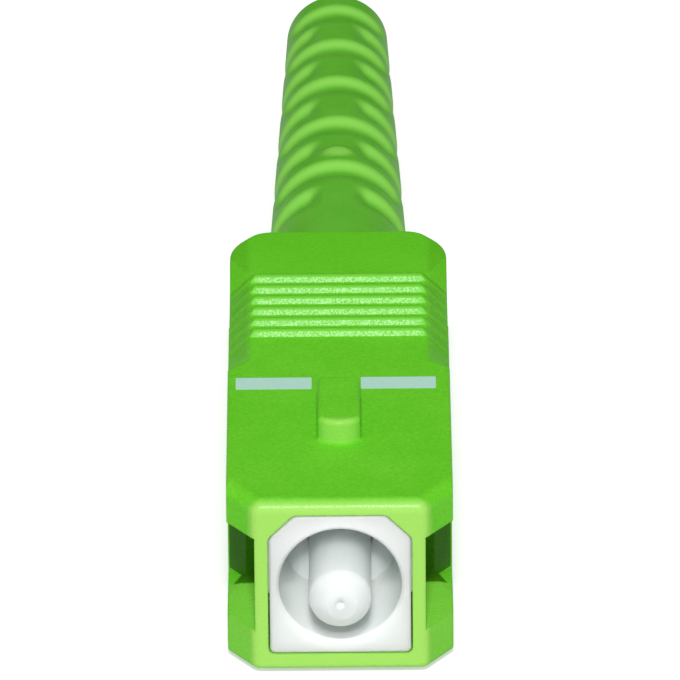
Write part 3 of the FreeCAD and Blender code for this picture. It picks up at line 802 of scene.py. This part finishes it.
@dataclass
class FerruleSet:
    """The ferrule with its flange, guide tube and spring."""

    spring_front: float = 7.4
    spring_stop: float = 13.8
    travel: float = 2.0
    fibre_radius: float = 0.17
    fibre_proud: float = 0.004
    fibre_length: float = 0.03
    fibre_sides: int = 32
    tip_at: float = -1.83
    polish_angle: float = 8.0
    ferrule_finish: Zirconia = Zirconia()
    tube_finish: DrawnStock = DrawnStock()
    fibre_finish: DrawnStock = DrawnStock("fibre_glass", (0.66, 0.70, 0.70), 0.35)
    flange_finish: TurnedMetal = TurnedMetal(
        "nickel_silver_flange", (0.68, 0.65, 0.57), (0.58, 0.56, 0.50), 0.28)
    wire_finish: TurnedMetal = TurnedMetal(
        "spring_wire", (0.56, 0.56, 0.57), (0.46, 0.46, 0.47), 0.26,
        Grain(0.03, 3.0, 0.6, (30.0, 1.0, 30.0)))

    def fibre_end(self) -> bmesh.types.BMesh:
        """The polished spot where the fibre fills the ferrule's bore.

        Returns:
            A short plug whose face is square to the ferrule's end face.
        """
        radius = self.fibre_radius * MM
        sunk = self.fibre_proud - self.fibre_length / 2
        turn = (Matrix.Rotation(math.radians(self.polish_angle), 3, "Z")
                @ Matrix.Rotation(math.pi / 2, 3, "X"))
        shape = bmesh.new()
        bmesh.ops.create_cone(shape, cap_ends=True, segments=self.fibre_sides, radius1=radius,
                              radius2=radius, depth=self.fibre_length * MM)
        bmesh.ops.translate(shape, vec=Vector(UP) * sunk * MM, verts=shape.verts)
        bmesh.ops.rotate(shape, cent=CENTRE, matrix=turn, verts=shape.verts)
        bmesh.ops.translate(shape, vec=Vector(ALONG) * self.tip_at * MM, verts=shape.verts)
        return shape

    def build(self) -> None:
        """Dress the four pieces, close the ferrule's bore and give the spring a mesh of its own.
        """
        dress_node("ferrule", self.ferrule_finish.dress())
        add_piece("fibre_end", self.fibre_end(), self.fibre_finish.dress(), "ferrule_group")
        dress_node("ferrule_flange", self.flange_finish.dress())
        dress_node("guide_tube", self.tube_finish.dress())
        spring = dress_node("ferrule_spring", self.wire_finish.dress())
        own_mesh(spring)


def ease(value: float) -> float:
    """Smooth rise from 0 to 1 as the value goes from 0 to 1."""
    held = min(max(value, 0.0), 1.0)
    return held * held * (3.0 - 2.0 * held)


@dataclass
class CableEnd:
    """The crimp sleeve and the strain-relief boot with its soft relief slots.

    Rows of slots lie by turns on the two flanks, and on the key side and the underside. Each
    row is a little closer to the one before and a little shallower.
    """

    radius: float = 2.9
    taper_from: float = 32.0
    end_radius: float = 2.22
    end_round: float = 0.3
    end_step: int = 9
    cable_bore: float = 1.5
    mouth: float = 0.15
    sleeve_bores: tuple[Span, ...] = (
        (2.38, 18.9), (2.38, 25.15), (2.08, 25.65), (2.08, 29.25))
    slot_first: float = 31.72
    slot_rows: int = 10
    slot_pitch: float = 2.53
    pitch_ratio: float = 0.968
    slot_depth: float = 0.34
    depth_ratio: float = 0.965
    slot_wall: Span = (-0.30, 0.62)
    slot_return: Span = (0.62, 1.95)
    side_share: float = 0.45
    side_power: int = 6
    web: Span = (0.60, 1.45)
    highlight_centre: float = 0.45
    highlight_power: float = 2.2
    gate_at: float = 35.3
    gate_half: Span = (0.78, 0.60)
    gate_height: float = 0.20
    gate_highlight: float = 0.85
    gate_edge: float = 1.1
    rings: int = 340
    facets: int = 120
    weld: float = 0.0001
    skin_slack: float = 0.001
    smooth_below: float = 35.0
    sleeve_finish: TurnedMetal = TurnedMetal(
        "annealed_sleeve", (0.72, 0.72, 0.73), (0.62, 0.62, 0.63), 0.34)
    boot_finish: BootElastomer = BootElastomer()

    def outline(self, length: float) -> list[Span]:
        """Corners of the boot's wall, from the grip end outside, round to the inside.

        Args:
            length: where the boot ends, in millimetres.

        Returns:
            Radius and place along the axis of each corner.
        """
        arc = [(self.end_radius - self.end_round * (1.0 - math.cos(t)),
                length - self.end_round * (1.0 - math.sin(t)))
               for t in (math.radians(a) for a in range(0, 91, self.end_step))]
        outside = [(self.radius, self.sleeve_bores[0][1]), (self.radius, self.taper_from)] + arc
        inside = [(self.cable_bore + self.mouth, length), (self.cable_bore, length - self.mouth),
                  (self.cable_bore, self.sleeve_bores[-1][1])]
        return outside + inside + list(reversed(self.sleeve_bores))

    def slots(self, x: float, y: float, z: float) -> Span:
        """Relief slots at one spot of the skin.

        Args:
            x: across the boot, in millimetres.
            y: along the boot.
            z: above the axis.

        Returns:
            How deep the skin lies below the cone in millimetres, and the share of painted
            highlight on a slot's lit wall, from 0 to 1.
        """
        depth, painted_highlight = 0.0, 0.0
        wall, pitch, size = self.slot_first, self.slot_pitch, self.slot_depth
        crest, foot = self.slot_wall
        start, stop = self.slot_return
        edge, full = self.web
        side = 1.0 - (1.0 - self.side_share) * (abs(x) / math.hypot(x, z)) ** self.side_power
        for row in range(self.slot_rows):
            down = (wall - y - crest) / (foot - crest)
            across = abs(x) if row % 2 == 0 else abs(z)
            back = 1.0 - ease((wall - y - start) / (stop - start))
            zone = ease((across - edge) / (full - edge))
            depth = max(depth, size * side * ease(down) * back * zone)
            # painted highlight: a band across the middle of each slot's lit wall
            band = max(1.0 - (2.0 * (down - self.highlight_centre)) ** 2, 0.0)
            painted_highlight = max(painted_highlight, zone * band ** self.highlight_power)
            wall += pitch
            pitch *= self.pitch_ratio
            size *= self.depth_ratio
        return depth, painted_highlight

    def gate(self, x: float, y: float) -> Span:
        """Raised gate mark at one spot of the boot's key side.

        Args:
            x: across the boot, in millimetres.
            y: along the boot.

        Returns:
            Its height in millimetres, and the share of painted highlight on it, from 0 to 1.
        """
        wide, long = self.gate_half
        apart = (x / wide) ** 2 + ((y - self.gate_at) / long) ** 2
        lean = 0.5 + 0.5 * (y - self.gate_at) / long
        height = self.gate_height * max(1.0 - apart, 0.0) * lean
        # painted highlight over the gate mark, strongest towards its middle
        return height, self.gate_highlight * ease(self.gate_edge * (1.0 - apart))

    def boot(self) -> bmesh.types.BMesh:
        """The boot: its wall spun round the axis, then its slots pressed in.

        Returns:
            The closed skin, inside and out.
        """
        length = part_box("boot")[1].y / MM
        shape = bmesh.new()
        row = [shape.verts.new((r * MM, y * MM, 0.0)) for r, y in self.outline(length)]
        edges = [shape.edges.new((a, b)) for a, b in zip(row, row[1:] + row[:1])]
        straight, taper = edges[:2]
        sizes = {e: abs(e.verts[0].co.y - e.verts[1].co.y) for e in (straight, taper)}
        for edge, size in sizes.items():
            cuts = int(self.rings * size / sum(sizes.values()))
            bmesh.ops.subdivide_edges(shape, edges=[edge], cuts=cuts)
        bmesh.ops.spin(shape, geom=shape.verts[:] + shape.edges[:], cent=CENTRE, axis=ALONG,
                       angle=2.0 * math.pi, steps=self.facets, use_merge=True)
        bmesh.ops.remove_doubles(shape, verts=shape.verts, dist=self.weld * MM)
        self.press(shape, (length - self.end_round) * MM)
        return shape

    def press(self, shape: bmesh.types.BMesh, limit: float) -> None:
        """Press the slots and the gate mark into the boot's skin, and store their painted
        highlight on each vertex.

        Args:
            shape: the plain boot.
            limit: where the rounded end begins, in metres.
        """
        wear = shape.verts.layers.float.new(self.boot_finish.highlight_attribute)
        skin = (self.end_radius - self.skin_slack) * MM
        for vert in shape.verts:
            span = math.hypot(vert.co.x, vert.co.z)
            if span > skin and vert.co.y <= limit:
                x, y, z = (c / MM for c in vert.co)
                depth, painted_highlight = self.slots(x, y, z)
                if z > 0:
                    height, gate_lit = self.gate(x, y)
                    depth, painted_highlight = depth - height, max(painted_highlight, gate_lit)
                vert[wear] = painted_highlight
                share = 1.0 - depth * MM / span
                vert.co.x *= share
                vert.co.z *= share

    def build(self) -> None:
        """Dress the sleeve and make the boot."""
        dress_node("crimp_sleeve", self.sleeve_finish.dress())
        boot = add_piece("slotted_boot", self.boot(), self.boot_finish.dress(), "frame")
        boot.data.shade_smooth()
        boot.data.set_sharp_from_angle(angle=math.radians(self.smooth_below))
        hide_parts("boot")


@dataclass(frozen=True)
class SoftLamp:
    """One square lamp: its name, its place and side in metres, and its power in watts."""

    name: str
    place: Triple
    side: float
    power: float


@dataclass(frozen=True)
class Snoot:
    """One narrow round lamp: place and size in metres, cone in degrees, power in watts."""

    name: str
    place: Triple
    size: float
    cone: float
    blend: float
    power: float


@dataclass
class Studio:
    """Pale floor, even sky and soft lamps."""

    floor_half: float = 1.5
    paper: MattSheet = MattSheet("pale_floor", (0.80, 0.80, 0.80), (0.82, 0.82, 0.82),
                                 Grain(40.0), 0.01, 0.50)
    sky: float = 0.30
    lamps: tuple[SoftLamp, ...] = (
        SoftLamp("key_lamp", (0.0, -0.44, 0.42), 0.085, 2.05),
        SoftLamp("spark_lamp", (0.0, -0.44, 0.42), 0.035, 0.68))
    aim: Triple = (0.0, 0.015, 0.0)
    snoot: Snoot = Snoot("port_lamp", (0.0004, -0.2073, 0.1398), 0.0004, 1.12, 0.35, 1.40)
    flag_radius: float = 0.60
    flag_arc: float = 220.0
    flag_height: float = 0.90
    flag_steps: int = 48
    flock: MattSheet = MattSheet("dark_flock", (0.010, 0.010, 0.010), (0.014, 0.014, 0.014),
                                 Grain(4.0), 0.1)

    def floor(self, height: float) -> None:
        """Lay the floor.

        Args:
            height: where the part's lowest point rests, in metres.
        """
        shape = bmesh.new()
        bmesh.ops.create_grid(shape, x_segments=1, y_segments=1, size=self.floor_half)
        bmesh.ops.translate(shape, vec=Vector(UP) * height, verts=shape.verts)
        link_mesh("floor", shape, self.paper.dress())

    def dark_flag(self) -> None:
        """Stand a bent dark card behind the part, which only its reflections show."""
        shape = bmesh.new()
        start = Vector((self.flag_radius, 0.0, 0.0))
        start.rotate(Matrix.Rotation(math.radians((180.0 - self.flag_arc) / 2.0), 3, "Z"))
        foot = shape.verts.new(start)
        top = shape.verts.new(start + Vector(UP) * self.flag_height)
        edge = shape.edges.new((foot, top))
        bmesh.ops.spin(shape, geom=[foot, top, edge], cent=CENTRE, axis=UP,
                       angle=math.radians(self.flag_arc), steps=self.flag_steps, use_merge=False)
        flag = link_mesh("dark_flag", shape, self.flock.dress())
        flag.visible_camera = flag.visible_diffuse = flag.visible_shadow = False

    def hang(self, data: bpy.types.Light, place: Triple, aim: Triple) -> bpy.types.Object:
        """Hang a lamp.

        Args:
            data: the lamp.
            place: where it hangs, in metres.
            aim: the point that it faces.

        Returns:
            Its object, hidden from the camera.
        """
        lamp = bpy.data.objects.new(data.name, data)
        lamp.location = place
        lamp.visible_camera = False
        lamp.rotation_mode = "QUATERNION"
        lamp.rotation_quaternion = (Vector(aim) - Vector(place)).to_track_quat("-Z", "Y")
        bpy.context.scene.collection.objects.link(lamp)
        return lamp

    def soft_lamp(self, lamp: SoftLamp) -> None:
        """Hang one of the soft lamps, facing the part.

        Args:
            lamp: its sizes and power.
        """
        data = bpy.data.lights.new(lamp.name, "AREA")
        data.shape = "SQUARE"
        data.size = lamp.side
        data.energy = lamp.power
        self.hang(data, lamp.place, self.aim)

    def port_lamp(self) -> None:
        """Aim the narrow lamp into the port."""
        data = bpy.data.lights.new(self.snoot.name, "SPOT")
        data.spot_size = math.radians(self.snoot.cone)
        data.spot_blend = self.snoot.blend
        data.shadow_soft_size = self.snoot.size
        data.energy = self.snoot.power
        self.hang(data, self.snoot.place, CENTRE).visible_glossy = False

    def world(self) -> None:
        """Even sky that shows as white to the camera and in reflections."""
        sky = bpy.data.worlds.new("studio_sky")
        sky.use_nodes = True
        w = Wiring(sky.node_tree)
        seen = w.rays("Is Camera Ray", "Is Transmission Ray", "Is Glossy Ray")
        light = w.node("ShaderNodeBackground", {}, {
            "Color": WHITE, "Strength": self.sky + seen * (1.0 - self.sky)})
        w.node("ShaderNodeOutputWorld", {}, {"Surface": light.outputs[0]})
        bpy.context.scene.world = sky

    def build(self) -> None:
        """Set the whole studio up."""
        self.world()
        self.floor(CAD_BOX[0].z)
        self.dark_flag()
        for lamp in self.lamps:
            self.soft_lamp(lamp)
        self.port_lamp()
        bpy.context.scene.view_settings.view_transform = "Standard"


@dataclass
class LongLens:
    """Camera in front of the nose and above it: a long lens, held a little turned."""

    target: Triple = (0.0519, 20.0505, 1.1944)
    distance: float = 444.16
    elevation: float = 25.789
    heading: float = -0.075
    roll: float = 0.5006
    focal_in_frames: float = 15.7031
    sensor: float = 36.0
    clip: Span = (0.01, 10.0)

    def build(self) -> None:
        """Place the camera."""
        tilt, turn, lean = (math.radians(a) for a in (self.elevation, self.heading, self.roll))
        ahead = Vector((math.sin(turn) * math.cos(tilt), math.cos(turn) * math.cos(tilt),
                        -math.sin(tilt)))
        level = Vector((math.cos(turn), -math.sin(turn), 0.0))
        upright = level.cross(ahead)
        right = level * math.cos(lean) - upright * math.sin(lean)
        above = level * math.sin(lean) + upright * math.cos(lean)
        data = bpy.data.cameras.new("long_lens")
        data.sensor_width = self.sensor
        data.lens = self.sensor * self.focal_in_frames
        data.clip_start, data.clip_end = self.clip
        camera = bpy.data.objects.new("long_lens", data)
        turned = Matrix((right, above, -ahead)).transposed().to_4x4()
        place = (Vector(self.target) - ahead * self.distance) * MM
        camera.matrix_world = Matrix.Translation(place) @ turned
        bpy.context.scene.collection.objects.link(camera)
        bpy.context.scene.camera = camera


def main() -> None:
    """Build every sub-assembly, then the studio and the camera."""
    logging.basicConfig(level=logging.INFO, format="%(name)s: %(message)s")
    for part in (CouplingShell(), PlugHousing(), FerruleSet(), CableEnd()):
        part.build()
    Studio().build()
    LongLens().build()


if __name__ == "__main__":
    main()
